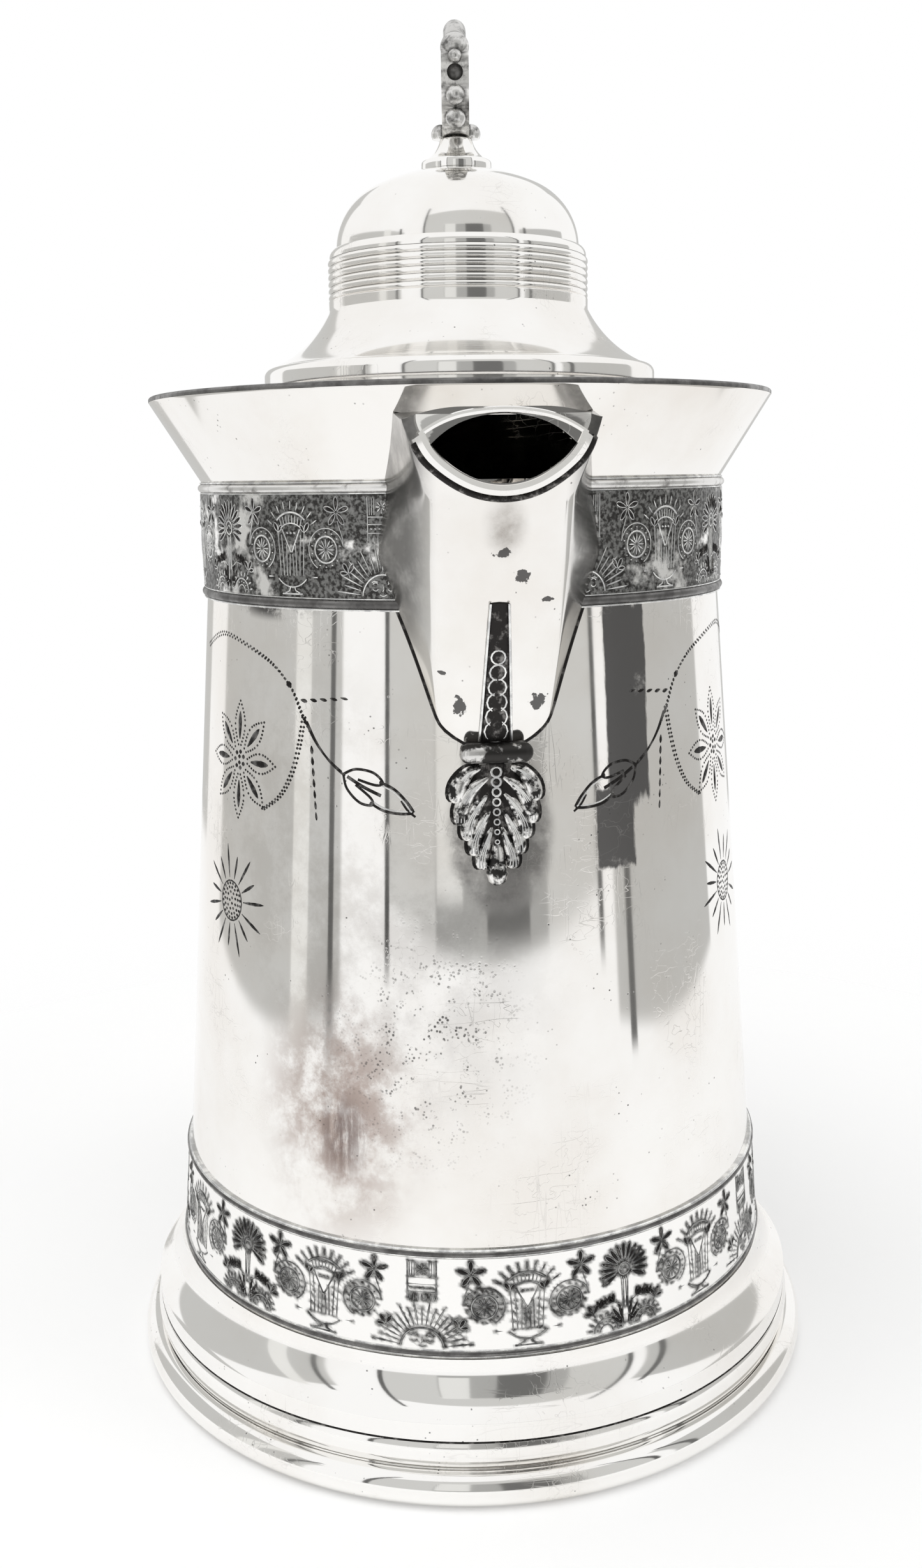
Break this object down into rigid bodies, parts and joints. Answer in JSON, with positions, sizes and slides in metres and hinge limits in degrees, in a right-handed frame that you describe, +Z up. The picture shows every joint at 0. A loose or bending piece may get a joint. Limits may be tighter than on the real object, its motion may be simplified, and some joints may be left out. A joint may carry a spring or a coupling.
{
  "type": "coffee pot",
  "caption": "Tapered silver-plated coffee pot on a stepped foot, with ornamental bands, a short covered spout, a bent handle and a hinged domed lid with a loop finial.",
  "frame": {"origin": "centre of the foot, on the surface that the pot stands on", "axes": "+Z up along the pot's axis, spout towards -Y, handle and lid hinge towards +Y"},
  "size_m": [0.14, 0.1716, 0.2592],
  "materials": {
    "polished_silver": "polished silver plate",
    "oxidised_silver": "silver plate with oxidised recesses",
    "bone_insulator": "polished bone",
    "nickel_pins": "drawn nickel silver wire"
  },
  "bodies": {
    "pot": {"foot_wire": "polished_silver", "foot_ring": "polished_silver", "body_shell": "polished_silver", "body_bottom": "polished_silver", "lower_band": "oxidised_silver", "lower_band_bottom_bead": "oxidised_silver", "lower_band_top_bead": "oxidised_silver", "upper_band": "oxidised_silver", "upper_band_bottom_bead": "oxidised_silver", "upper_band_top_bead": "oxidised_silver", "collar": "polished_silver", "rim_wire": "polished_silver", "top_deck": "polished_silver", "mouth_ring": "polished_silver", "spout_shell": "polished_silver", "spout_lip": "polished_silver", "spout_strap": "oxidised_silver", "spout_crossbar": "oxidised_silver", "spout_leaf": "oxidised_silver", "handle_grip": "polished_silver", "handle_upper_socket": "polished_silver", "handle_lower_socket": "polished_silver", "handle_upper_insulator": "bone_insulator", "handle_lower_insulator": "bone_insulator", "handle_pins": "nickel_pins", "hinge_body_leaf": "polished_silver", "hinge_pin": "nickel_pins"},
    "lid": {"hinge_lid_leaf": "polished_silver", "lid_ring": "polished_silver", "lid_bezel": "polished_silver", "lid_base": "polished_silver", "lid_dome": "polished_silver", "finial_base": "polished_silver", "finial_loop": "oxidised_silver", "finial_stud": "nickel_pins", "finial_nut": "nickel_pins"}
  },
  "joints": [
    {"name": "lid_hinge", "type": "hinge", "parent": "pot", "child": "lid", "pos_m": [0, 0.0401, 0.1955], "axis": [-1, 0, 0], "range_deg": [0, 100]}
  ]
}
